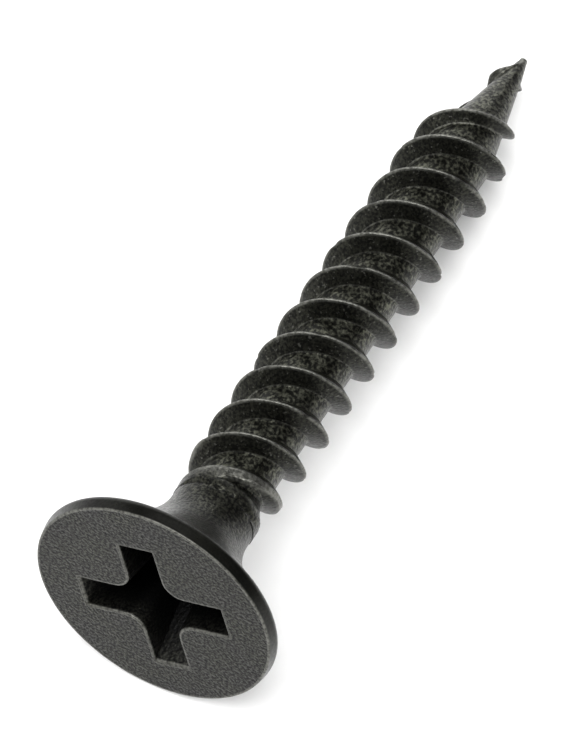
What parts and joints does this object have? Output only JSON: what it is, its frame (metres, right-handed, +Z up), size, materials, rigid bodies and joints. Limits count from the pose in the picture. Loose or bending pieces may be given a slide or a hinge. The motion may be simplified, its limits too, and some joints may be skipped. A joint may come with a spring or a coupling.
{
  "type": "drywall screw",
  "caption": "Bugle-head drywall screw with a cross recess, a coarse right-hand thread and a sharp point, in black phosphated steel.",
  "frame": {"origin": "middle of the box around the screw, on the surface that it lies on", "axes": "+X from the head towards the point, along the surface; +Z up. The screw lies on the rim of its head and on one crest of its thread, so its own axis dips by 7 degrees towards the point"},
  "size_m": [0.0254, 0.0082, 0.0081],
  "materials": {
    "black_phosphate": "matt black phosphate on steel, slightly mottled, a little lighter along worn edges"
  },
  "bodies": {
    "root": {"screw": "black_phosphate"}
  },
  "joints": []
}
